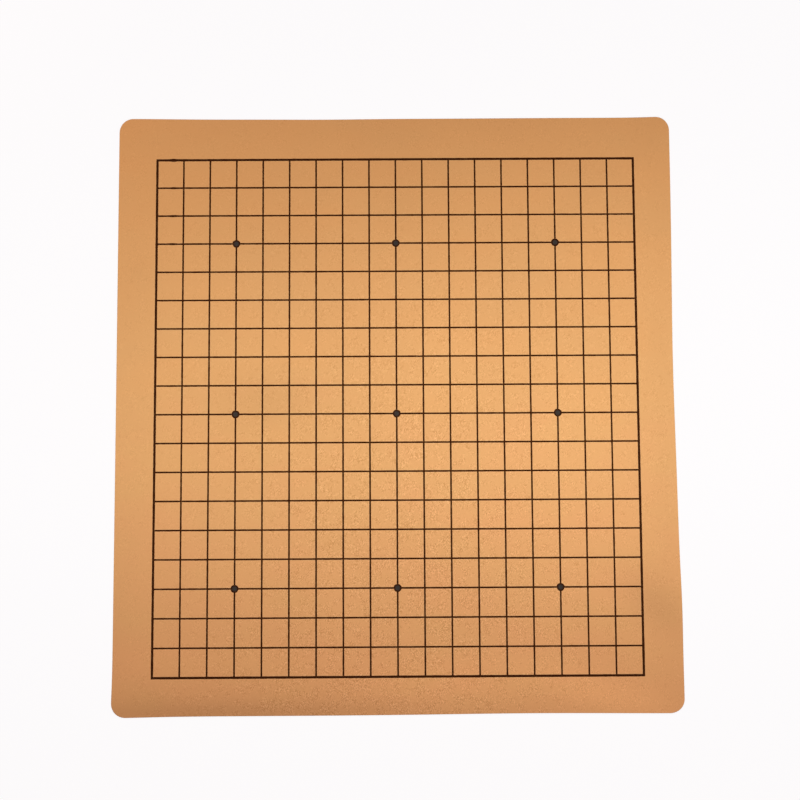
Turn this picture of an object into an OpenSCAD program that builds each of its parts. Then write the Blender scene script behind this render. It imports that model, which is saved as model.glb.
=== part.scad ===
// Roll-up go board: a soft laminated sheet with a printed grid and star points.
// Millimetres, +Z up. The origin is the middle of the underside, and +Y points to the far edge.

/* [Grid] */
// Number of lines each way
lines = 19; // [9, 13, 19]
// Spacing of the column lines, across the board
cell_w = 22; // [18:0.1:30]
// Spacing of the row lines, along the board
cell_l = 23.6; // [18:0.1:30]

/* [Margins] */
// Bare margin at the left, from the middle of the border line to the cut edge
margin_left = 32; // [20:0.5:60]
// Bare margin at the right
margin_right = 31; // [20:0.5:60]
// Bare margin at the near side
margin_near = 30.5; // [20:0.5:60]
// Bare margin at the far side
margin_far = 34.5; // [20:0.5:60]
// Radius of the four cut corners
corner_r = 11.5; // [2:0.5:18]

/* [Print] */
// Width of an inner line
line_w = 1.4; // [0.5:0.05:3]
// Width of the border line
border_w = 1.95; // [0.5:0.05:4]
// Diameter of a star point
star_d = 6.6; // [4:0.1:12]
// Thickness of the ink film
ink_t = 0.05; // [0.02:0.01:0.2]

/* [Layers] */
// Thickness of the suede face skin
face_t = 0.8; // [0.4:0.05:2]
// Thickness of the bonding film
bond_t = 0.2; // [0.1:0.05:0.5]
// Thickness of the backing cloth
backing_t = 1; // [0.4:0.05:3]

/* [Hidden] */
$fn = 96;

suede_colour = "#DDA369";
bond_colour = "#C9B68C";
backing_colour = "#A98A66";
ink_colour = "#38322F";

// Grid, measured between the middles of the border lines
grid_w = (lines - 1) * cell_w;
grid_l = (lines - 1) * cell_l;

// Cut sheet, centred on the origin
sheet_w = margin_left + grid_w + margin_right;
sheet_l = margin_near + grid_l + margin_far;
grid_x = margin_left - sheet_w / 2;
grid_y = margin_near - sheet_l / 2;

// Undersides of the layers, from the table up
bond_z = backing_t;
face_z = bond_z + bond_t;
ink_z = face_z + face_t;

// Inner lines are numbered from the near left corner, where the border holds number one
inner_lines = [2 : lines - 1];
star_edge = lines < 13 ? 3 : 4;
star_lines = [star_edge, (lines + 1) / 2, lines + 1 - star_edge];

function column_x(i) = grid_x + (i - 1) * cell_w;
function row_y(j) = grid_y + (j - 1) * cell_l;
function two_digits(n) = str(n < 10 ? "0" : "", n);
function row_name(j) = str("row_line_", two_digits(j));
function column_name(i) = str("column_line_", two_digits(i));
function star_name(i, j) = str("star_point_", two_digits(i), "_", two_digits(j));

// Outline of the cut sheet: a rectangle with round corners
module sheet_outline() {
    square([sheet_w - 2 * corner_r, sheet_l], center = true);
    square([sheet_w, sheet_l - 2 * corner_r], center = true);
    for (x = [-1, 1])
        for (y = [-1, 1])
            translate([x * (sheet_w / 2 - corner_r), y * (sheet_l / 2 - corner_r)])
                circle(r = corner_r);
}

// One layer of the laminate, at height z and with thickness t
module layer(z, t) {
    translate([0, 0, z])
        linear_extrude(t)
            sheet_outline();
}

// Ink film on the face, in the shape of its children
module ink() {
    color(ink_colour)
        translate([0, 0, ink_z])
            linear_extrude(ink_t)
                children();
}

// Rectangle of the grid, grown on every side
module grid_rectangle(grow) {
    translate([grid_x - grow, grid_y - grow])
        square([grid_w + 2 * grow, grid_l + 2 * grow]);
}

// One row line's stripe, between the inner edges of the border
module row_stripe(j) {
    translate([grid_x + border_w / 2, row_y(j) - line_w / 2])
        square([grid_w - border_w, line_w]);
}

// One column line's stripe, between the inner edges of the border
module column_stripe(i) {
    translate([column_x(i) - line_w / 2, grid_y + border_w / 2])
        square([line_w, grid_l - border_w]);
}

// One star point's disc, where column i crosses row j
module star_disc(i, j) {
    translate([column_x(i), row_y(j)])
        circle(d = star_d);
}

// All star discs, which interrupt the lines that run into them
module star_discs() {
    for (i = star_lines)
        for (j = star_lines)
            star_disc(i, j);
}

// Brushed cloth that lies on the table
module backing_cloth() {
    color(backing_colour)
        layer(0, backing_t);
}

// Adhesive between the cloth and the skin
module bonding_film() {
    color(bond_colour)
        layer(bond_z, bond_t);
}

// Synthetic suede that is played on
module face_skin() {
    color(suede_colour)
        layer(face_z, face_t);
}

// Heavier printed frame around the grid
module border_line() {
    ink()
        difference() {
            grid_rectangle(border_w / 2);
            grid_rectangle(-border_w / 2);
        }
}

// Printed row, unbroken but for the star points on it
module row_line(j) {
    ink()
        difference() {
            row_stripe(j);
            star_discs();
        }
}

// Printed column, in the lengths that the rows and star points leave free
module column_line(i) {
    ink()
        difference() {
            column_stripe(i);
            for (j = inner_lines)
                row_stripe(j);
            star_discs();
        }
}

// Printed dot where two star lines cross
module star_point(i, j) {
    ink()
        star_disc(i, j);
}

backing_cloth();
bonding_film();
face_skin();
border_line();
for (j = inner_lines)
    row_line(j);
for (i = inner_lines)
    column_line(i);
for (i = star_lines)
    for (j = star_lines)
        star_point(i, j);
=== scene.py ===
"""Looks of a roll-up go board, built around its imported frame.

The board is a soft laminate: a sanded suede face, a laminating film and a brushed backing cloth. It is
die-cut with round corners, screen-printed with a grid and star points, and lies on a pale table.
Lengths are in metres and +Z is up. Sizes that the frame holds are read from it.
"""

import logging
import math
from collections.abc import Mapping, Sequence
from dataclasses import dataclass, field
from enum import Enum

import bpy
import numpy as np
from mathutils import Matrix, Vector


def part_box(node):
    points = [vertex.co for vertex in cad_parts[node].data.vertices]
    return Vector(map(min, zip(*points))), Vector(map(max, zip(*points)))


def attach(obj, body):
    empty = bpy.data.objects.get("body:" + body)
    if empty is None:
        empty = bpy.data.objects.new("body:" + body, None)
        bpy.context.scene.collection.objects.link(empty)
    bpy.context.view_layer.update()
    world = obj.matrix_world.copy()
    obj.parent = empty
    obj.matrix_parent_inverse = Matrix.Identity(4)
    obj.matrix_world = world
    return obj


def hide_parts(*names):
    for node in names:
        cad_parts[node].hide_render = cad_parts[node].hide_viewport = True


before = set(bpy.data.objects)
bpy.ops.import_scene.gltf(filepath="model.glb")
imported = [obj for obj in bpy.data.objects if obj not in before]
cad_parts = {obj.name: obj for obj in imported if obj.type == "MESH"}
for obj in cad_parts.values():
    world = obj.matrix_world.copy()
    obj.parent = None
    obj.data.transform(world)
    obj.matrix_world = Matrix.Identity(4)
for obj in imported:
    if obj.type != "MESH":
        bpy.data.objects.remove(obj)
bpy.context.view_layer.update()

MM = 0.001
BODY = "root"
BAKE_MAP = "OFBake"
# Nearly all values of a noise texture lie in this band
NOISE_LOW, NOISE_HIGH = 0.3, 0.7

log = logging.getLogger("go_board")

Array = np.ndarray
Colour = tuple[float, float, float, float]


class Side(Enum):
    """The four cut edges, as the axis that each one crosses and its sign there."""

    LEFT = (0, -1)
    RIGHT = (0, 1)
    NEAR = (1, -1)
    FAR = (1, 1)


class Way(Enum):
    """The two ways that grid lines run, as the axis along them."""

    ROW = 0
    COLUMN = 1


class Shown(Enum):
    """The face of a layer that is seen, which takes the large part of its bake map."""

    TOP = "top"
    BOTTOM = "bottom"


def linear(hex_colour: str) -> Colour:
    """Turn an sRGB hex colour into linear light.

    Args:
        hex_colour: A hash sign and six hex digits.

    Returns:
        Linear red, green and blue, with an alpha of one.
    """
    srgb = np.array([int(hex_colour[i:i + 2], 16) for i in (1, 3, 5)]) / 255
    light = np.where(srgb <= 0.04045, srgb / 12.92, ((srgb + 0.055) / 1.055) ** 2.4)
    return (*light.tolist(), 1.0)


def per_metre(size_mm: float) -> float:
    """Give the scale of a texture on metre coordinates whose features are size_mm across."""
    return 1 / (size_mm * MM)


def add_node(
    tree: bpy.types.NodeTree,
    kind: str,
    inputs: Mapping[str | int, object] | None = None,
    **settings: object,
) -> bpy.types.Node:
    """Add a shader node, set its properties and fill its sockets.

    Args:
        tree: The node tree that takes the node.
        kind: The node's type, without the ShaderNode in front.
        inputs: Socket names or numbers, each with a value or with the output to link.
        settings: Properties of the node.

    Returns:
        The new node.
    """
    made = tree.nodes.new("ShaderNode" + kind)
    for name, value in settings.items():
        setattr(made, name, value)
    for socket, value in (inputs or {}).items():
        if isinstance(value, bpy.types.NodeSocket):
            tree.links.new(value, made.inputs[socket])
        else:
            made.inputs[socket].default_value = value
    return made


def new_material(name: str) -> bpy.types.Material:
    """Make a node material with nothing in it.

    Args:
        name: The material's name.

    Returns:
        The material.
    """
    made = bpy.data.materials.new(name)
    made.use_nodes = True
    made.node_tree.nodes.clear()
    return made


def mesh_object(
    name: str, points: Array, faces: Array, places: Array | None = None, sharp: float | None = None
) -> bpy.types.Object:
    """Put points and four-cornered faces into a new object at the origin.

    Args:
        name: The object's name.
        points: Points, as an array of shape (points, 3).
        faces: Point numbers, as an array of shape (faces, 4).
        places: Places of the face corners on the bake map, of shape (faces, 4, 2).
        sharp: Angle past which an edge stays sharp on a smooth surface. Without it, faces are flat.

    Returns:
        The object, linked to the scene.
    """
    mesh = bpy.data.meshes.new(name)
    mesh.from_pydata(points.tolist(), [], faces.tolist())
    if places is not None:
        mesh.uv_layers.new(name=BAKE_MAP).data.foreach_set("uv", places.astype(np.float32).ravel())
    if sharp is None:
        mesh.shade_flat()
    else:
        mesh.shade_smooth()
        mesh.set_sharp_from_angle(angle=sharp)
    made = bpy.data.objects.new(name, mesh)
    bpy.context.scene.collection.objects.link(made)
    return made


def dress(piece: bpy.types.Object, material: bpy.types.Material, node: str) -> None:
    """Give a piece its material and its body, and hide the frame node that it stands for.

    Args:
        piece: The finished piece.
        material: Its material.
        node: The frame node that it replaces.
    """
    piece.data.materials.append(material)
    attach(piece, BODY)
    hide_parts(node)
    log.info("%s: %d faces, in place of %s", piece.name, len(piece.data.polygons), node)


def grid_faces(rows: int, columns: int) -> Array:
    """Join the points of a grid, numbered row by row, into faces that look up.

    A face takes a point, the next one in its row, and the two that lie beside them in the next row.

    Args:
        rows: Rows of points, from near to far.
        columns: Points in each row, from left to right.

    Returns:
        Point numbers, as an array of shape (faces, 4).
    """
    corner = np.arange(rows * columns).reshape(rows, columns)[:-1, :-1]
    return np.stack([corner, corner + 1, corner + columns + 1, corner + columns], axis=-1).reshape(-1, 4)


def slab(levels: Sequence[Array], shown: Shown = Shown.TOP) -> tuple[Array, Array, Array]:
    """Close a slab between its top and bottom grids.

    Each level is a grid of points of shape (rows, columns, 3), from the top down. The first and last
    levels become faces, and between two levels a band joins their rims, point by point. On the bake
    map the shown face fills a large square, the bands a strip above it and the other face a small square.

    Args:
        levels: The grids, all of one shape.
        shown: The face that takes the large square.

    Returns:
        Points, faces and places on the bake map.
    """
    rows, columns, _ = levels[0].shape
    count = rows * columns
    index = np.arange(count).reshape(rows, columns)
    rim = np.concatenate([index[0, :-1], index[:-1, -1], index[-1, :0:-1], index[:0:-1, 0]])
    top = grid_faces(rows, columns)
    inner = [level.reshape(-1, 3)[rim] for level in levels[1:-1]]
    bottom_first = count + len(inner) * len(rim)
    # Rim loops from the top down, each anticlockwise from above
    between = [count + k * len(rim) + np.arange(len(rim)) for k in range(len(inner))]
    loops = [rim, *between, bottom_first + rim]
    bands = [
        np.stack([low, np.roll(low, -1), np.roll(high, -1), high], axis=-1)
        for high, low in zip(loops, loops[1:])
    ]
    points = np.concatenate([levels[0].reshape(-1, 3), *inner, levels[-1].reshape(-1, 3)])
    faces = np.concatenate([top, *bands, bottom_first + top[:, ::-1]])

    large, small, strip_from = 0.94, 0.05, 0.95
    plan = points[:count, :2]
    plan = (plan - plan.min(axis=0)) / np.ptp(plan, axis=0)
    main_square, spare_square = plan * large, plan * small + [strip_from, 0]
    over, under = (main_square, spare_square) if shown is Shown.TOP else (spare_square, main_square)
    along = np.arange(len(rim)) / len(rim)
    ends = along[:, None] + np.array([0, 1, 1, 0]) / len(rim)
    drop = (1 - strip_from) / len(bands)
    strips = [
        np.stack([ends, strip_from + drop * (k + np.broadcast_to([1, 1, 0, 0], ends.shape))], axis=-1)
        for k in range(len(bands))
    ]
    return points, faces, np.concatenate([over[top], *strips, under[top[:, ::-1]]])


def skin(runs: int, steps: int, corners: int, closed: bool) -> Array:
    """Skin runs of sections whose points are numbered run by run, step by step and corner by corner.

    A face joins two neighbouring corners of one section to the same two of the next. A section's
    corners go clockwise as seen from behind it, so that faces point outwards.

    Args:
        runs: How many separate runs there are.
        steps: Sections in each run.
        corners: Corners of a section, an even number.
        closed: Whether each run ends where it began. If not, its two ends are capped.

    Returns:
        The faces.
    """
    first = np.arange(runs)[:, None, None] * steps * corners
    here = np.arange(steps if closed else steps - 1)[None, :, None]
    ahead = (here + 1) % steps
    side = np.arange(corners)[None, None, :]
    turned = (side + 1) % corners
    spans = [
        here * corners + side,
        here * corners + turned,
        ahead * corners + turned,
        ahead * corners + side,
    ]
    sides = np.stack([first + span for span in spans], axis=-1).reshape(-1, 4)
    if closed:
        return sides
    # A cap is cut into quads that share the section's first corner
    quads = np.array([[0, k, k + 1, k + 2] for k in range(1, corners - 2, 2)])
    starts = first.reshape(-1, 1, 1) + quads[:, ::-1]
    ends = first.reshape(-1, 1, 1) + (steps - 1) * corners + quads
    return np.concatenate([sides, starts.reshape(-1, 4), ends.reshape(-1, 4)])


@dataclass(frozen=True)
class Swell:
    """A long shallow wave that rolling up has left in the sheet."""

    rise: float
    length: float
    heading: float


@dataclass(frozen=True)
class Lay:
    """How the soft sheet lies on the table: shallow swells that touch down together at one spot."""

    touch: tuple[float, float] = (-60 * MM, 40 * MM)
    swells: tuple[Swell, ...] = (
        Swell(rise=0.28 * MM, length=620 * MM, heading=math.radians(82)),
        Swell(rise=0.16 * MM, length=390 * MM, heading=math.radians(118)),
        Swell(rise=0.10 * MM, length=310 * MM, heading=math.radians(15)),
    )

    def height(self, x: Array, y: Array) -> Array:
        """Work out the underside's height: the sum over swells of rise times the squared sine of the way.

        Args:
            x: Places across the board.
            y: Places along the board.

        Returns:
            Heights above the table, none under zero.
        """
        total = np.zeros(np.broadcast(x, y).shape)
        for swell in self.swells:
            across = (x - self.touch[0]) * math.cos(swell.heading)
            along = (y - self.touch[1]) * math.sin(swell.heading)
            total += swell.rise * np.sin(math.pi * (across + along) / swell.length) ** 2
        return total


@dataclass(frozen=True)
class EdgeBump:
    """A stretch where the cut edge runs outside the plain outline, or inside it if out is under zero."""

    side: Side
    centre: float
    reach: float
    out: float


@dataclass(frozen=True)
class CutSheet:
    """Outline of the die-cut sheet: a rectangle with round corners whose edges wander a little."""

    half_width: float
    half_length: float
    corner_radius: float = 11.5 * MM
    step: float = 5 * MM
    corner_steps: int = 14
    edge_guard: float = 0.6 * MM
    fade: float = 26 * MM
    bumps: tuple[EdgeBump, ...] = (
        EdgeBump(Side.LEFT, centre=-245 * MM, reach=25 * MM, out=0.8 * MM),
        EdgeBump(Side.RIGHT, centre=-240 * MM, reach=60 * MM, out=1.4 * MM),
        EdgeBump(Side.RIGHT, centre=-160 * MM, reach=40 * MM, out=1.1 * MM),
        EdgeBump(Side.RIGHT, centre=40 * MM, reach=90 * MM, out=-1.4 * MM),
        EdgeBump(Side.NEAR, centre=-230 * MM, reach=40 * MM, out=0.9 * MM),
        EdgeBump(Side.NEAR, centre=110 * MM, reach=90 * MM, out=-0.9 * MM),
        EdgeBump(Side.FAR, centre=-230 * MM, reach=60 * MM, out=1.0 * MM),
        EdgeBump(Side.FAR, centre=-60 * MM, reach=40 * MM, out=-0.35 * MM),
        EdgeBump(Side.FAR, centre=150 * MM, reach=80 * MM, out=0.25 * MM),
        EdgeBump(Side.FAR, centre=235 * MM, reach=30 * MM, out=1.0 * MM),
    )

    def plan(self, inset: float) -> tuple[Array, Array]:
        """Lay a grid over the outline, drawn in by an inset.

        Rows lie along the board. In a round corner the row at angle a lies radius times sine a past the
        straight length and reaches radius times cosine a past the straight width. Columns share out
        each row's reach evenly, with one more close to the edge on each side.

        Args:
            inset: Distance inside the cut edge.

        Returns:
            Places across and along the board, each of shape (rows, columns).
        """
        radius = self.corner_radius - inset
        straight = self.half_length - self.corner_radius
        angle = np.linspace(0, math.pi / 2, self.corner_steps + 1)[1:]
        middle = np.linspace(-straight, straight, 1 + round(2 * straight / self.step))
        past_end = straight + radius * np.sin(angle)
        y = np.concatenate([-past_end[::-1], middle, past_end])
        past_side = np.concatenate([np.cos(angle[::-1]), np.ones(len(middle)), np.cos(angle)])
        reach = self.half_width - self.corner_radius + radius * past_side
        guard = 1 - self.edge_guard / self.half_width
        inside = np.linspace(-guard, guard, 1 + round(2 * self.half_width / self.step))
        share = np.concatenate([[-1], inside, [1]])
        return self.wander(reach[:, None] * share, y[:, None] * np.ones(len(share)))

    def wander(self, x: Array, y: Array) -> tuple[Array, Array]:
        """Push points near an edge outwards by bell curves along it, fading to nothing in the margin.

        Args:
            x: Places across the board.
            y: Places along the board.

        Returns:
            The moved places.
        """
        place = (x, y)
        half = (self.half_width, self.half_length)
        moved = [x.copy(), y.copy()]
        for bump in self.bumps:
            axis, sign = bump.side.value
            near = np.clip(1 + (sign * place[axis] - half[axis]) / self.fade, 0, 1)
            bell = np.exp(-(((place[1 - axis] - bump.centre) / bump.reach) ** 2))
            moved[axis] += sign * bump.out * bell * near**2 * (3 - 2 * near)
        return moved[0], moved[1]

    def area(self) -> float:
        """Give the flat area inside the plain outline."""
        return 4 * self.half_width * self.half_length - (4 - math.pi) * self.corner_radius**2


@dataclass(frozen=True)
class SoftOval:
    """A soft oval where the face's look changes, most at its centre and there by its share.

    Its two half sizes run along its heading, which turns anticlockwise from +X, and across it.
    """

    centre_mm: tuple[float, float]
    half_mm: tuple[float, float]
    share: float
    heading_deg: float = 0.0

    def bell(self, x: Array, y: Array) -> Array:
        """Work out the change: the share times a bell curve over the oval's two axes.

        Args:
            x: Places across the board.
            y: Places along the board.

        Returns:
            Changes, which are under zero where the share is.
        """
        right, ahead = x / MM - self.centre_mm[0], y / MM - self.centre_mm[1]
        heading = math.radians(self.heading_deg)
        along = (right * math.cos(heading) + ahead * math.sin(heading)) / self.half_mm[0]
        across = (ahead * math.cos(heading) - right * math.sin(heading)) / self.half_mm[1]
        return self.share * np.exp(-(along**2) - across**2)


@dataclass(frozen=True)
class NapAndShade:
    """Ovals over the face: painted light and shade with the nap's lean, and the grain deepest at the near
    side.
    """

    shade_and_nap_name: str = "painted_shade_and_nap"
    grain_depth_name: str = "grain_shading_depth"
    least_grain_depth: float = 0.464
    # Where the grain, with its painted shade between the tufts, shows deepest: at the near side
    deep_grain_oval: SoftOval = SoftOval((0, -270), (140, 270), share=2.44, heading_deg=-12)
    # Lighter and darker ovals, partly painted light and shade and partly the nap's lean
    shade_and_nap_ovals: tuple[SoftOval, ...] = (
        # Near margin: painted shade along the left of its edge, and lighter streaks behind that and to the
        # right
        SoftOval((-130, -242), (150, 10), share=-0.15),
        SoftOval((-160, -205), (80, 15), share=0.05),
        SoftOval((45, -220), (85, 25), share=0.10),
        SoftOval((170, -230), (60, 15), share=0.12, heading_deg=-15),
        SoftOval((-45, -180), (25, 50), share=0.03),
        # Right side: a dark patch at the edge, a faint dark strip along it and two light patches inside
        SoftOval((210, -158), (35, 18), share=-0.12, heading_deg=-45),
        SoftOval((220, -10), (20, 180), share=-0.05),
        SoftOval((110, -80), (90, 110), share=0.05),
        SoftOval((35, 45), (25, 55), share=0.03),
        # Left side and far half: a dark patch left of the middle, a faint strip and two wide faint patches
        SoftOval((-105, 8), (50, 25), share=-0.08),
        SoftOval((-215, 80), (25, 110), share=-0.03),
        SoftOval((-110, 140), (110, 90), share=-0.04),
        SoftOval((5, 180), (30, 60), share=-0.03),
    )

    def shade_and_nap(self, x: Array, y: Array) -> Array:
        """Work out the painted light and shade with the nap's lean: the sum of the ovals' bell curves.

        Args:
            x: Places across the board.
            y: Places along the board.

        Returns:
            Shares of light added, or under zero taken away.
        """
        return sum(each_oval.bell(x, y) for each_oval in self.shade_and_nap_ovals)

    def brush(self, piece: bpy.types.Object) -> None:
        """Store the painted light and shade with the nap's lean, and the grain's depth, on every point of
        a piece.

        Args:
            piece: The piece with the nap.
        """
        points = np.empty(3 * len(piece.data.vertices))
        piece.data.vertices.foreach_get("co", points)
        x, y, _ = points.reshape(-1, 3).T
        grain_depth = self.least_grain_depth + self.deep_grain_oval.bell(x, y)
        for name, values in ((self.shade_and_nap_name, self.shade_and_nap(x, y)), (self.grain_depth_name, grain_depth)):
            piece.data.attributes.new(name, "FLOAT", "POINT").data.foreach_set("value", values)


@dataclass(frozen=True)
class SandedSuede:
    """Synthetic suede: microfibre felt filled with polyurethane, then sanded to a short nap.

    The eye sees a matte tan with fine soft tufts, darker between them, partly with painted shade, whose
    grain shows more in some places than in others and most at the near side. A painted colour cast of
    the light runs from amber at the far side over straw in the brightly lit middle to rosy at the near
    side, and wide faint patches show where the nap lies another way.
    """

    # Ovals of painted light and shade with the nap's lean, and the grain's depth
    nap: NapAndShade
    length: float
    # The tufts' colour, and a darker one between them that is partly painted shade in the hollows
    tip: str = "#F4B680"
    pit_shade: str = "#CC8F5A"
    # Tints of a painted colour cast of the light along the board, straw where it is brightest
    amber: str = "#FFFDF3"
    straw: str = "#FBFFF9"
    rosy: str = "#FFFAFB"
    sheen: str = "#F3DCC0"
    # A real nap is finer than a pixel, so its tufts and lint are drawn as coarse as they need to show
    tuft_mm: float = 0.8
    comb: float = math.radians(62)
    comb_stretch: float = 1.7
    pebble_mm: float = 2.2
    lint_mm: float = 0.45
    ruffle_mm: float = 6.0
    ruffle_swing: float = 0.85
    cast_cloud_mm: float = 36.0
    cast_stretch: float = 2.0
    cast_stray: float = 0.16
    patch_mm: float = 85.0
    patch_depth: float = 0.012
    relief_mm: float = 0.147
    rough_pit: float = 0.95
    rough_tip: float = 0.82

    def nearness(self, tree: bpy.types.NodeTree) -> bpy.types.NodeSocket:
        """Add the way along the board.

        Args:
            tree: The material's node tree.

        Returns:
            Zero at the far edge, rising evenly to one at the near edge.
        """
        place = add_node(tree, "TexCoord").outputs["Object"]
        along = add_node(tree, "SeparateXYZ", {"Vector": place}).outputs["Y"]
        half = self.length / 2
        return add_node(tree, "MapRange", {"Value": along, "From Min": half, "From Max": -half}).outputs[0]

    def grain(self, tree: bpy.types.NodeTree) -> bpy.types.NodeSocket:
        """Add the nap's even pattern: combed tufts and lint, less the hollows between wider pebbles.

        Args:
            tree: The material's node tree.

        Returns:
            Heights around one half.
        """
        place = add_node(tree, "TexCoord").outputs["Object"]
        combed = add_node(
            tree,
            "Mapping",
            {"Vector": place, "Rotation": (0, 0, self.comb), "Scale": (self.comb_stretch, 1, 1)},
            vector_type="TEXTURE",
        )
        tuft = add_node(
            tree,
            "TexNoise",
            {
                "Vector": combed.outputs[0],
                "Scale": per_metre(self.tuft_mm),
                "Detail": 2.0,
                "Roughness": 0.6,
            },
        )
        lint = add_node(
            tree, "TexNoise", {"Vector": place, "Scale": per_metre(self.lint_mm), "Detail": 1.0}
        )
        pebble = add_node(
            tree,
            "TexVoronoi",
            {"Vector": place, "Scale": per_metre(self.pebble_mm), "Smoothness": 0.8},
            feature="SMOOTH_F1",
        )
        hollow_share, lint_share = -0.15, 0.6
        soft = add_node(
            tree,
            "Math",
            {0: pebble.outputs["Distance"], 1: hollow_share, 2: tuft.outputs["Fac"]},
            operation="MULTIPLY_ADD",
        )
        return add_node(
            tree,
            "Math",
            {0: lint.outputs["Fac"], 1: lint_share, 2: soft.outputs[0]},
            operation="MULTIPLY_ADD",
        ).outputs[0]

    def height(self, tree: bpy.types.NodeTree) -> bpy.types.NodeSocket:
        """Add the nap's height: its grain about the mean, times how deep the grain shows there.

        Args:
            tree: The material's node tree.

        Returns:
            Heights around one half.
        """
        grain_mean, rest = 0.735, 0.44
        flat_under, ruffled_over = 0.38, 0.62
        place = add_node(tree, "TexCoord").outputs["Object"]
        cloud = add_node(
            tree, "TexNoise", {"Vector": place, "Scale": per_metre(self.ruffle_mm), "Detail": 2.0}
        )
        uneven = add_node(
            tree,
            "MapRange",
            {
                "Value": cloud.outputs["Fac"],
                "From Min": flat_under,
                "From Max": ruffled_over,
                "To Min": 1 - self.ruffle_swing,
                "To Max": 1 + self.ruffle_swing,
            },
        )
        # The stored depth also deepens the painted shade between the tufts
        grain_depth = add_node(tree, "Attribute", attribute_name=self.nap.grain_depth_name)
        strength = add_node(
            tree, "Math", {0: uneven.outputs[0], 1: grain_depth.outputs["Fac"]}, operation="MULTIPLY"
        )
        swing = add_node(tree, "Math", {0: self.grain(tree), 1: grain_mean}, operation="SUBTRACT")
        return add_node(
            tree,
            "Math",
            {0: swing.outputs[0], 1: strength.outputs[0], 2: rest},
            operation="MULTIPLY_ADD",
        ).outputs[0]

    def light_cast(self, tree: bpy.types.NodeTree) -> bpy.types.NodeSocket:
        """Add a cloudy painted cast of the light: amber at the far side, straw in the lit middle, rosy at
        the near side.

        Args:
            tree: The material's node tree.

        Returns:
            A tint near white.
        """
        place = add_node(tree, "TexCoord").outputs["Object"]
        drawn = add_node(
            tree,
            "Mapping",
            {"Vector": place, "Scale": (self.cast_stretch, 1, 1)},
            vector_type="TEXTURE",
        )
        cloud = add_node(
            tree, "TexNoise", {"Vector": drawn.outputs[0], "Scale": per_metre(self.cast_cloud_mm), "Detail": 2.0}
        )
        stray = add_node(
            tree,
            "MapRange",
            {
                "Value": cloud.outputs["Fac"],
                "From Min": NOISE_LOW,
                "From Max": NOISE_HIGH,
                "To Min": -self.cast_stray,
                "To Max": self.cast_stray,
            },
        )
        share = add_node(tree, "Math", {0: self.nearness(tree), 1: stray.outputs[0]}, operation="ADD")
        # Painted light: the colour cast runs along the board, made cloudy
        tint = add_node(tree, "ValToRGB", {"Fac": share.outputs[0]})
        middle = 0.5
        stops = tint.color_ramp.elements
        stops[0].color, stops[1].color = linear(self.amber), linear(self.rosy)
        stops.new(middle).color = linear(self.straw)
        return tint.outputs["Color"]

    def light(self, tree: bpy.types.NodeTree) -> bpy.types.NodeSocket:
        """Add the wide factor: one, plus the stored ovals of painted light, shade and nap lean, plus faint
        patches.

        Args:
            tree: The material's node tree.

        Returns:
            Factors around one.
        """
        place = add_node(tree, "TexCoord").outputs["Object"]
        patch = add_node(
            tree,
            "TexNoise",
            {"Vector": place, "Scale": per_metre(self.patch_mm), "Detail": 3.0, "Distortion": 0.8},
        )
        lean = add_node(
            tree,
            "MapRange",
            {
                "Value": patch.outputs["Fac"],
                "From Min": NOISE_LOW,
                "From Max": NOISE_HIGH,
                "To Min": 1 - self.patch_depth,
                "To Max": 1 + self.patch_depth,
            },
        )
        stored_ovals = add_node(tree, "Attribute", attribute_name=self.nap.shade_and_nap_name)
        return add_node(
            tree, "Math", {0: lean.outputs[0], 1: stored_ovals.outputs["Fac"]}, operation="ADD"
        ).outputs[0]

    def material(self) -> bpy.types.Material:
        """Make the suede, darker, partly with painted shade, and rougher between the tufts.

        Returns:
            The material.
        """
        made = new_material("synthetic suede, sanded")
        tree = made.node_tree
        height = self.height(tree)
        # Low places between the tufts take the darker colour, partly painted shade
        ramp = add_node(tree, "ValToRGB", {"Fac": height})
        ends = ramp.color_ramp.elements
        ends[0].color, ends[1].color = linear(self.pit_shade), linear(self.tip)
        cast_colour = add_node(
            tree, "VectorMath", {0: ramp.outputs["Color"], 1: self.light_cast(tree)}, operation="MULTIPLY"
        )
        colour = add_node(
            tree, "VectorMath", {0: cast_colour.outputs[0], "Scale": self.light(tree)}, operation="SCALE"
        )
        low_nap, high_nap = 0.2, 0.8
        rough = add_node(
            tree,
            "MapRange",
            {
                "Value": height,
                "From Min": low_nap,
                "From Max": high_nap,
                "To Min": self.rough_pit,
                "To Max": self.rough_tip,
            },
        )
        bump = add_node(tree, "Bump", {"Height": height, "Distance": self.relief_mm * MM, "Strength": 0.6})
        shader = add_node(
            tree,
            "BsdfPrincipled",
            {
                "Base Color": colour.outputs[0],
                "Roughness": rough.outputs[0],
                "Normal": bump.outputs[0],
                "Specular IOR Level": 0.2,
                "Sheen Weight": 0.12,
                "Sheen Roughness": 0.6,
                "Sheen Tint": linear(self.sheen),
            },
        )
        add_node(tree, "OutputMaterial", {"Surface": shader.outputs[0]})
        return made


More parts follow.
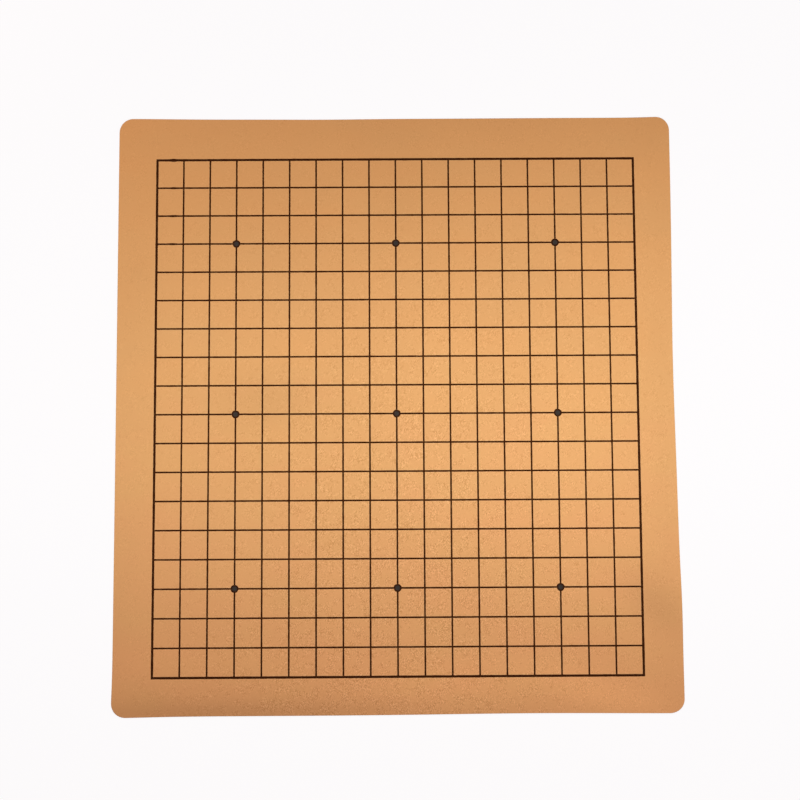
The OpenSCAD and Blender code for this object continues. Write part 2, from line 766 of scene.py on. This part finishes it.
@dataclass(frozen=True)
class ScreenInk:
    """Matte ink, screen-printed onto the nap.

    The eye sees a dense soft dark, a little thin where tips of the nap come through. A thin line takes a
    brown cast from the suede that its edges sink into. A heavy dot is charcoal inside such a brown rim.
    """

    film: str
    thin: str
    rim: str = "#331502"
    rim_name: str = "ink_rim"
    # As coarse as the nap that is drawn under it
    tuft_mm: float = 1.1
    relief_mm: float = 0.05
    rough_film: float = 0.72
    rough_thin: float = 0.9

    def material(self) -> bpy.types.Material:
        """Make the ink, thinner and rougher on the tips of the nap.

        Returns:
            The material, whose rim shows where a piece has the rim's attribute.
        """
        made = new_material("matte ink, screen-printed")
        tree = made.node_tree
        place = add_node(tree, "TexCoord").outputs["Object"]
        tuft = add_node(
            tree,
            "TexNoise",
            {"Vector": place, "Scale": per_metre(self.tuft_mm), "Detail": 2.0, "Roughness": 0.6},
        )
        covered_under, bare_over = 0.5, 0.75
        colour = add_node(tree, "ValToRGB", {"Fac": tuft.outputs["Fac"]})
        ends = colour.color_ramp.elements
        ends[0].position, ends[0].color = covered_under, linear(self.film)
        ends[1].position, ends[1].color = bare_over, linear(self.thin)
        sunk = add_node(tree, "Attribute", attribute_name=self.rim_name)
        rimmed = add_node(
            tree,
            "MixRGB",
            {"Fac": sunk.outputs["Fac"], "Color1": colour.outputs["Color"], "Color2": linear(self.rim)},
        )
        rough = add_node(
            tree,
            "MapRange",
            {
                "Value": tuft.outputs["Fac"],
                "From Min": NOISE_LOW,
                "From Max": NOISE_HIGH,
                "To Min": self.rough_film,
                "To Max": self.rough_thin,
            },
        )
        bump = add_node(
            tree,
            "Bump",
            {"Height": tuft.outputs["Fac"], "Distance": self.relief_mm * MM, "Strength": 0.5},
        )
        shader = add_node(
            tree,
            "BsdfPrincipled",
            {
                "Base Color": rimmed.outputs[0],
                "Roughness": rough.outputs[0],
                "Normal": bump.outputs[0],
                "Specular IOR Level": 0.08,
            },
        )
        add_node(tree, "OutputMaterial", {"Surface": shader.outputs[0]})
        return made


@dataclass(frozen=True)
class LaminatingFilm:
    """Polyurethane hot-melt film, pressed between the cloth and the skin.

    The eye sees only its cut edge: a thin pale line, faintly streaked and duller than plastic sheet.
    """

    clear: str = "#CFBD94"
    clouded: str = "#BDA97F"
    streak_mm: float = 4.0
    rough_clouded: float = 0.65
    rough_clear: float = 0.45

    def material(self) -> bpy.types.Material:
        """Make the film, clouded where the glue has squeezed out unevenly.

        Returns:
            The material.
        """
        made = new_material("polyurethane film, hot-pressed")
        tree = made.node_tree
        place = add_node(tree, "TexCoord").outputs["Object"]
        streak = add_node(
            tree, "TexNoise", {"Vector": place, "Scale": per_metre(self.streak_mm), "Detail": 2.0}
        )
        clouded_under, clear_over = 0.35, 0.65
        colour = add_node(tree, "ValToRGB", {"Fac": streak.outputs["Fac"]})
        ends = colour.color_ramp.elements
        ends[0].position, ends[0].color = clouded_under, linear(self.clouded)
        ends[1].position, ends[1].color = clear_over, linear(self.clear)
        rough = add_node(
            tree,
            "MapRange",
            {
                "Value": streak.outputs["Fac"],
                "From Min": NOISE_LOW,
                "From Max": NOISE_HIGH,
                "To Min": self.rough_clouded,
                "To Max": self.rough_clear,
            },
        )
        shader = add_node(
            tree,
            "BsdfPrincipled",
            {"Base Color": colour.outputs["Color"], "Roughness": rough.outputs[0], "IOR": 1.5},
        )
        add_node(tree, "OutputMaterial", {"Surface": shader.outputs[0]})
        return made


@dataclass(frozen=True)
class BrushedCloth:
    """Polyester cloth, knitted and then brushed on its outer side.

    The eye sees a soft brown with short fibres that lie one way, and a knit that shows faintly through.
    """

    fibre: str = "#B5966F"
    shade: str = "#977854"
    sheen: str = "#E9D9C2"
    # Real fibres and loops are finer, and these are drawn as coarse as they need to show
    fibre_mm: float = 0.7
    fibre_stretch: float = 5.0
    comb: float = math.radians(7)
    loop_mm: float = 2.4
    relief_mm: float = 0.2
    rough_shade: float = 0.98
    rough_fibre: float = 0.86

    def material(self) -> bpy.types.Material:
        """Make the cloth: stretched noise for the fibres, over faint ribs of the knit.

        Returns:
            The material.
        """
        made = new_material("polyester cloth, brushed")
        tree = made.node_tree
        place = add_node(tree, "TexCoord").outputs["Object"]
        combed = add_node(
            tree,
            "Mapping",
            {"Vector": place, "Rotation": (0, 0, self.comb), "Scale": (1, self.fibre_stretch, 1)},
            vector_type="TEXTURE",
        )
        fibres = add_node(
            tree,
            "TexNoise",
            {
                "Vector": combed.outputs[0],
                "Scale": per_metre(self.fibre_mm),
                "Detail": 3.0,
                "Roughness": 0.6,
            },
        )
        # A wave texture's bands are this far apart at scale one
        band_pitch = math.pi / 10
        ribs = add_node(
            tree,
            "TexWave",
            {
                "Vector": place,
                "Scale": per_metre(self.loop_mm) * band_pitch,
                "Distortion": 1.5,
                "Detail": 1.0,
            },
            bands_direction="X",
        )
        rib_share = 0.12
        height = add_node(
            tree,
            "Math",
            {0: ribs.outputs["Fac"], 1: rib_share, 2: fibres.outputs["Fac"]},
            operation="MULTIPLY_ADD",
        )
        shade_under, fibre_over = 0.35, 0.78
        colour = add_node(tree, "ValToRGB", {"Fac": height.outputs[0]})
        ends = colour.color_ramp.elements
        ends[0].position, ends[0].color = shade_under, linear(self.shade)
        ends[1].position, ends[1].color = fibre_over, linear(self.fibre)
        low_pile, high_pile = 0.3, 0.8
        rough = add_node(
            tree,
            "MapRange",
            {
                "Value": height.outputs[0],
                "From Min": low_pile,
                "From Max": high_pile,
                "To Min": self.rough_shade,
                "To Max": self.rough_fibre,
            },
        )
        bump = add_node(
            tree,
            "Bump",
            {"Height": height.outputs[0], "Distance": self.relief_mm * MM, "Strength": 0.7},
        )
        shader = add_node(
            tree,
            "BsdfPrincipled",
            {
                "Base Color": colour.outputs["Color"],
                "Roughness": rough.outputs[0],
                "Normal": bump.outputs[0],
                "Specular IOR Level": 0.15,
                "Sheen Weight": 0.2,
                "Sheen Roughness": 0.5,
                "Sheen Tint": linear(self.sheen),
            },
        )
        add_node(tree, "OutputMaterial", {"Surface": shader.outputs[0]})
        return made


def seen_ray(tree: bpy.types.NodeTree) -> bpy.types.NodeSocket:
    """Add a test for the rays that show a backdrop: camera, glossy and transmission rays.

    Args:
        tree: The node tree of a backdrop.

    Returns:
        One for such a ray, and zero for light that falls on the object.
    """
    path = add_node(tree, "LightPath").outputs
    mirrored = add_node(
        tree, "Math", {0: path["Is Glossy Ray"], 1: path["Is Transmission Ray"]}, operation="MAXIMUM"
    )
    return add_node(
        tree, "Math", {0: path["Is Camera Ray"], 1: mirrored.outputs[0]}, operation="MAXIMUM"
    ).outputs[0]


@dataclass(frozen=True)
class TableWhite:
    """Seamless white table: matte paper that shows as the backdrop's white, less the object's shadow."""

    backdrop: str = "#FFFDFE"
    paper: str = "#EDEBEA"
    shadow_share: float = 0.05
    fibre_mm: float = 3.0
    rough_smooth: float = 0.9
    rough_fibre: float = 1.0

    def material(self) -> bpy.types.Material:
        """Make the table: plain paper to the lamps, and mostly even white to the camera.

        Returns:
            The material.
        """
        made = new_material("white paper, matte")
        tree = made.node_tree
        place = add_node(tree, "TexCoord").outputs["Object"]
        fibre = add_node(tree, "TexNoise", {"Vector": place, "Scale": per_metre(self.fibre_mm)})
        rough = add_node(
            tree,
            "MapRange",
            {"Value": fibre.outputs["Fac"], "To Min": self.rough_smooth, "To Max": self.rough_fibre},
        )
        paper = add_node(tree, "BsdfDiffuse", {"Color": linear(self.paper), "Roughness": rough.outputs[0]})
        white = add_node(tree, "Emission", {"Color": linear(self.backdrop), "Strength": 1.0})
        shown = add_node(
            tree, "MixShader", {0: self.shadow_share, 1: white.outputs[0], 2: paper.outputs[0]}
        )
        mixed = add_node(
            tree, "MixShader", {0: seen_ray(tree), 1: paper.outputs[0], 2: shown.outputs[0]}
        )
        add_node(tree, "OutputMaterial", {"Surface": mixed.outputs[0]})
        return made


@dataclass
class Laminate:
    """The three glued layers of the sheet, cut through together."""

    lay: Lay
    cut: CutSheet
    rolled_edge: float = 0.35 * MM
    roll_steps: int = 4
    film_shrink: float = 0.15 * MM
    sharp: float = math.radians(50)

    def level(self, inset: float, height: float) -> Array:
        """Make one grid of points at an inset from the cut edge and a height over the sheet's underside.

        Args:
            inset: Distance inside the cut edge.
            height: Height in the sheet, before it is laid.

        Returns:
            Points of shape (rows, columns, 3).
        """
        x, y = self.cut.plan(inset)
        return np.stack([x, y, height + self.lay.height(x, y)], axis=-1)

    def rolled(self, height: float, sign: int) -> list[Array]:
        """Make the grids of an edge that the die has rolled over: a quarter circle from face to side.

        Args:
            height: Height of the face.
            sign: One for a top face, minus one for an underside.

        Returns:
            Grids from the face to the side.
        """
        angles = np.linspace(0, math.pi / 2, self.roll_steps + 1)
        return [
            self.level(
                self.rolled_edge * (1 - math.sin(angle)),
                height - sign * self.rolled_edge * (1 - math.cos(angle)),
            )
            for angle in angles
        ]

    def declare(self) -> None:
        """Work out the cut's flat area, which is not kept."""
        self.cut.area()

    def build(self) -> None:
        low, high = (corner.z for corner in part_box("backing_cloth"))
        backing = mesh_object(
            "brushed_backing",
            *slab([self.level(0, high), *reversed(self.rolled(low, -1))], Shown.BOTTOM),
            sharp=self.sharp,
        )
        dress(backing, BrushedCloth().material(), "backing_cloth")
        self.declare()

        low, high = (corner.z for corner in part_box("bonding_film"))
        film = mesh_object(
            "laminating_film",
            *slab([self.level(self.film_shrink, high), self.level(self.film_shrink, low)]),
            sharp=self.sharp,
        )
        dress(film, LaminatingFilm().material(), "bonding_film")
        self.declare()

        low, high = (corner.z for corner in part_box("face_skin"))
        face = mesh_object(
            "suede_face",
            *slab([*self.rolled(high, 1), self.level(0, low)]),
            sharp=self.sharp,
        )
        # Ovals of painted light and shade with the nap's lean, and the grain's depth, stored on the face
        nap = NapAndShade()
        nap.brush(face)
        dress(face, SandedSuede(nap, 2 * self.cut.half_length).material(), "face_skin")
        self.declare()


@dataclass(frozen=True)
class InkSpread:
    """How the printed width strays: slow ripples along a line, and dabs where the screen leaked."""

    ripple: float = 0.05
    ripple_lengths: tuple[float, ...] = (31 * MM, 11.5 * MM)
    phase_step: float = 2.4
    border_phase: float = 0.7
    dab_x: float = -184 * MM
    dab_from_y: float = 130 * MM
    dab_reach: float = 2.2 * MM
    dab_gain: float = 0.36

    def factor(self, x: Array, y: Array, phase: float) -> Array:
        """Work out the width's factor: one, plus sines of the way along, plus bell curves at the dabs.

        Args:
            x: Places across the board.
            y: Places along the board.
            phase: The line's own phase, in radians.

        Returns:
            Factors around one.
        """
        ripple = sum(
            np.sin(2 * math.pi * (x + y) / length + phase * harmonic)
            for harmonic, length in enumerate(self.ripple_lengths, start=1)
        )
        dab = np.exp(-(((x - self.dab_x) / self.dab_reach) ** 2)) * (y > self.dab_from_y)
        return 1 + self.ripple * ripple / len(self.ripple_lengths) + self.dab_gain * dab


@dataclass
class GridPrint:
    """The screen-printed border, lines and star points, laid over the face as a film of ink."""

    lay: Lay
    spread: InkSpread = InkSpread()
    line_ink: ScreenInk = ScreenInk(film="#331502", thin="#482508")
    star_ink: ScreenInk = ScreenInk(film="#352F2D", thin="#493F3B")
    step: float = 2 * MM
    root: float = 0.02 * MM
    shoulder: float = 0.12
    star_crown: float = 0.01 * MM
    star_steps: int = 20
    star_shrink: float = 0.05 * MM
    star_lobes: tuple[tuple[int, float], ...] = ((3, 0.02), (5, 0.015))
    rim_from: float = 0.45
    rim_full: float = 0.72
    rows: list[str] = field(init=False)
    columns: list[str] = field(init=False)
    stars: list[str] = field(init=False)
    bottom: float = field(init=False)
    film: float = field(init=False)
    line_material: bpy.types.Material = field(init=False)
    star_material: bpy.types.Material = field(init=False)

    def __post_init__(self) -> None:
        """Read the lines, the star points and the ink's level from the frame, and make the inks."""
        names = sorted(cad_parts)
        self.rows = [name for name in names if name.startswith("row_line_")]
        self.columns = [name for name in names if name.startswith("column_line_")]
        self.stars = [name for name in names if name.startswith("star_point_")]
        low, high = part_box("border_line")
        self.bottom = low.z
        self.film = high.z - low.z
        self.line_material = self.line_ink.material()
        self.star_material = self.star_ink.material()

    def section(self, x: Array, y: Array, left: tuple[Array, Array], half: Array) -> Array:
        """Set the ink's cross-section on a path: six corners, flat on top between sloping shoulders.

        Args:
            x: Path points across the board.
            y: Path points along the board.
            left: The two parts of the direction to the left of the path, for each point.
            half: Half the ink's width at each point.

        Returns:
            Points of shape (path points, 6, 3), clockwise as seen from behind.
        """
        offset = np.array([1, 1, 1 - self.shoulder, self.shoulder - 1, -1, -1])
        rise = np.array([-self.root, self.film / 2, self.film, self.film, self.film / 2, -self.root])
        reach = np.asarray(half)[..., None] * offset
        across = x[..., None] + np.asarray(left[0])[..., None] * reach
        along = y[..., None] + np.asarray(left[1])[..., None] * reach
        height = self.bottom + self.lay.height(across, along) + rise
        return np.stack([across, along, height], axis=-1)

    def line(self, node: str, way: Way, breaks: Sequence[tuple[float, float]]) -> None:
        """Print one row or column as the runs that its breaks leave.

        Args:
            node: The line's frame node.
            way: The way that it runs.
            breaks: Middles and half lengths of the stretches left out, in order along the line.
        """
        low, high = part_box(node)
        axis = way.value
        middle = (low[1 - axis] + high[1 - axis]) / 2
        gaps = np.array(breaks).reshape(-1, 2)
        starts = np.concatenate([[low[axis]], gaps.sum(axis=1)])
        ends = np.concatenate([gaps[:, 0] - gaps[:, 1], [high[axis]]])
        steps = 1 + max(2, math.ceil((ends - starts).max() / self.step))
        way_along = starts[:, None] + (ends - starts)[:, None] * np.linspace(0, 1, steps)
        still = np.full_like(way_along, middle)
        x, y = (way_along, still) if way is Way.ROW else (still, way_along)
        # Left of a row is +Y and left of a column is -X
        none, one = np.zeros_like(x), np.ones_like(x)
        left = (none, one) if way is Way.ROW else (-one, none)
        number = int(node.rsplit("_", 1)[1])
        spread = self.spread.factor(x, y, self.spread.phase_step * number + axis)
        points = self.section(x, y, left, (high[1 - axis] - low[1 - axis]) / 2 * spread)
        faces = skin(len(starts), steps, points.shape[-2], closed=False)
        piece = mesh_object("ink_" + node, points.reshape(-1, 3), faces)
        dress(piece, self.line_material, node)

    def crossing_stars(self, node: str, way: Way) -> list[tuple[float, float]]:
        """Find where star points interrupt a line, as the chord that the disc cuts from it.

        Args:
            node: The line's frame node.
            way: The way that it runs.

        Returns:
            Middles and half lengths of the chords along the line.
        """
        low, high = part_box(node)
        axis = way.value
        middle = (low[1 - axis] + high[1 - axis]) / 2
        half_width = (high[1 - axis] - low[1 - axis]) / 2
        found = []
        for star in self.stars:
            star_low, star_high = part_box(star)
            centre = (star_low + star_high) / 2
            radius = (star_high.x - star_low.x) / 2
            if abs(centre[1 - axis] - middle) < radius:
                found.append((centre[axis], math.sqrt(radius**2 - half_width**2)))
        return sorted(found)

    def print_lines(self) -> None:
        """Print the rows, broken at star points, and the columns, broken at rows and star points."""
        for node in self.rows:
            self.line(node, Way.ROW, self.crossing_stars(node, Way.ROW))
        boxes = [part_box(row) for row in self.rows]
        crossings = [((low.y + high.y) / 2, (high.y - low.y) / 2) for low, high in boxes]
        for node in self.columns:
            wide = self.crossing_stars(node, Way.COLUMN)
            plain = [
                (place, half)
                for place, half in crossings
                if all(abs(place - centre) > reach for centre, reach in wide)
            ]
            self.line(node, Way.COLUMN, sorted(wide + plain))

    def print_border(self) -> None:
        """Print the border as one closed run, anticlockwise, with mitred corners."""
        low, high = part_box("border_line")
        inner_low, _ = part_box(self.rows[0])
        width = inner_low.x - low.x
        centre, half = (low + high) / 2, (high - low) / 2
        reach_x, reach_y = half.x - width / 2, half.y - width / 2
        corners = np.array([[-1, -1], [1, -1], [1, 1], [-1, 1]]) * [reach_x, reach_y]
        corners = corners + [centre.x, centre.y]
        steps = math.ceil(2 * reach_y / self.step)
        share = np.arange(steps)[None, :, None] / steps
        path = corners[:, None] + share * (np.roll(corners, -1, axis=0) - corners)[:, None]
        inward = np.array([[0.0, 1.0], [-1.0, 0.0], [0.0, -1.0], [1.0, 0.0]])
        left = np.repeat(inward[:, None], steps, axis=1)
        # At a corner the left of the side before is added, which gives the mitre
        left[:, 0] += np.roll(inward, 1, axis=0)
        x, y = path[..., 0].ravel(), path[..., 1].ravel()
        spread = self.spread.factor(x, y, self.spread.border_phase)
        spread[::steps] = 1
        toward = (left[..., 0].ravel(), left[..., 1].ravel())
        points = self.section(x, y, toward, width / 2 * spread)
        faces = skin(1, len(x), points.shape[-2], closed=True)
        piece = mesh_object("ink_border_line", points.reshape(-1, 3), faces)
        dress(piece, self.line_material, "border_line")

    def print_star(self, node: str) -> None:
        """Print one star point: a disc from a square grid, pressed round.

        The point (u, v) of the square goes to u times the root of one less half v squared across, and
        the same with u and v changed over along. A few sine lobes make its edge a little ragged, the
        crown falls with the square of the distance, and the rim's share rises evenly near the edge.

        Args:
            node: The star's frame node.
        """
        low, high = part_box(node)
        centre, half = (low + high) / 2, (high.x - low.x) / 2
        side = np.linspace(-1, 1, self.star_steps + 1)
        u, v = np.meshgrid(side, side)
        across, along = u * np.sqrt(1 - v**2 / 2), v * np.sqrt(1 - u**2 / 2)
        angle = np.arctan2(along, across)
        ragged = sum(
            share * np.sin(lobes * angle + place / MM)
            for (lobes, share), place in zip(self.star_lobes, (centre.x, centre.y))
        )
        radius = (half - self.star_shrink) * (1 + ragged)
        levels = []
        for shrink, rise in ((self.shoulder / 2, self.film), (0, self.film / 2), (0, -self.root)):
            x = centre.x + radius * (1 - shrink) * across
            y = centre.y + radius * (1 - shrink) * along
            crown = self.star_crown * (1 - across**2 - along**2) * (rise > 0)
            levels.append(np.stack([x, y, self.bottom + self.lay.height(x, y) + rise + crown], axis=-1))
        points, faces, _ = slab(levels)
        piece = mesh_object("ink_" + node, points, faces)
        reach = np.hypot(points[:, 0] - centre.x, points[:, 1] - centre.y) / half
        rim = np.clip((reach - self.rim_from) / (self.rim_full - self.rim_from), 0, 1)
        rim_share = piece.data.attributes.new(self.star_ink.rim_name, "FLOAT", "POINT")
        rim_share.data.foreach_set("value", rim)
        dress(piece, self.star_material, node)

    def build(self) -> None:
        """Print the border, the lines and the star points."""
        self.print_border()
        self.print_lines()
        for node in self.stars:
            self.print_star(node)


@dataclass(frozen=True)
class Lamp:
    """A soft box over the table that shines straight down."""

    name: str
    place: tuple[float, float, float]
    size: tuple[float, float]
    watts: float
    tint: str = "#FFFFFF"

    def hang(self) -> None:
        """Hang the lamp, out of the camera's sight."""
        light = bpy.data.lights.new(self.name, "AREA")
        light.shape = "RECTANGLE"
        light.size, light.size_y = self.size
        light.energy = self.watts
        light.color = linear(self.tint)[:3]
        made = bpy.data.objects.new(self.name, light)
        made.location = self.place
        made.visible_camera = False
        bpy.context.scene.collection.objects.link(made)


@dataclass
class Studio:
    """The table, the lamps, the backdrop and the camera that looks down on the board."""

    face_height: float
    table_half: float = 4.0
    table_drop: float = 0.02 * MM
    ambient: float = 0.312
    ambient_tint: str = "#FFDDCB"
    lamps: tuple[Lamp, ...] = (
        Lamp("strip_box", place=(0.48, 0.003, 0.351), size=(1.80, 0.06), watts=3.92, tint="#F3FFFB"),
        Lamp("fill_box", place=(-0.413, 0.415, 0.202), size=(0.20, 0.20), watts=0.35, tint="#FFE8D0"),
    )
    aim: tuple[float, float] = (3.26 * MM, 9.08 * MM)
    distance: float = 1025.17 * MM
    tilt: float = math.radians(4.876)
    turn: float = math.radians(2.676)
    roll: float = math.radians(-0.327)
    lens_mm: float = 56.25
    sensor_mm: float = 36.0

    def lay_table(self) -> None:
        """Lay the table, a hair under the board."""
        side = np.array([-self.table_half, self.table_half])
        x, y = np.meshgrid(side, side)
        points = np.stack([x, y, np.full_like(x, -self.table_drop)], axis=-1).reshape(-1, 3)
        table = mesh_object("table", points, grid_faces(*x.shape))
        table.data.materials.append(TableWhite().material())

    def set_backdrop(self) -> None:
        """Fill the world with a dim even light, which the camera sees as the table's white."""
        world = bpy.data.worlds.new("backdrop")
        world.use_nodes = True
        tree = world.node_tree
        tree.nodes.clear()
        table = TableWhite()
        dim = add_node(tree, "Background", {"Color": linear(self.ambient_tint), "Strength": self.ambient})
        white = add_node(
            tree, "Background", {"Color": linear(table.backdrop), "Strength": 1 - table.shadow_share}
        )
        mixed = add_node(tree, "MixShader", {0: seen_ray(tree), 1: dim.outputs[0], 2: white.outputs[0]})
        add_node(tree, "OutputWorld", {"Surface": mixed.outputs[0]})
        bpy.context.scene.world = world

    def place_camera(self) -> None:
        """Stand the camera off its aim by its distance, tilted from straight down, turned and rolled."""
        lean = math.sin(self.tilt)
        forward = Vector((lean * math.sin(self.turn), lean * math.cos(self.turn), -math.cos(self.tilt)))
        level = forward.cross(Vector((0, 1, 0))).normalized()
        right = level * math.cos(self.roll) + level.cross(forward) * math.sin(self.roll)
        up = right.cross(forward)
        data = bpy.data.cameras.new("camera")
        data.lens = self.lens_mm
        data.sensor_width = self.sensor_mm
        made = bpy.data.objects.new("camera", data)
        grain_depth = Vector((*self.aim, self.face_height)) - forward * self.distance
        made.matrix_world = Matrix.Translation(grain_depth) @ Matrix((right, up, -forward)).transposed().to_4x4()
        bpy.context.scene.collection.objects.link(made)
        bpy.context.scene.camera = made

    def build(self) -> None:
        """Set up the table, the light and the camera."""
        bpy.context.scene.view_settings.view_transform = "Standard"
        self.place_camera()
        self.lay_table()
        self.set_backdrop()
        for lamp in self.lamps:
            lamp.hang()


def main() -> None:
    logging.basicConfig(level=logging.INFO, format="%(name)s: %(message)s")
    low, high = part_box("face_skin")
    lay = Lay()
    cut = CutSheet(half_width=(high.x - low.x) / 2, half_length=(high.y - low.y) / 2)
    Studio(face_height=high.z).build()
    Laminate(lay, cut).build()
    GridPrint(lay).build()


if __name__ == "__main__":
    main()
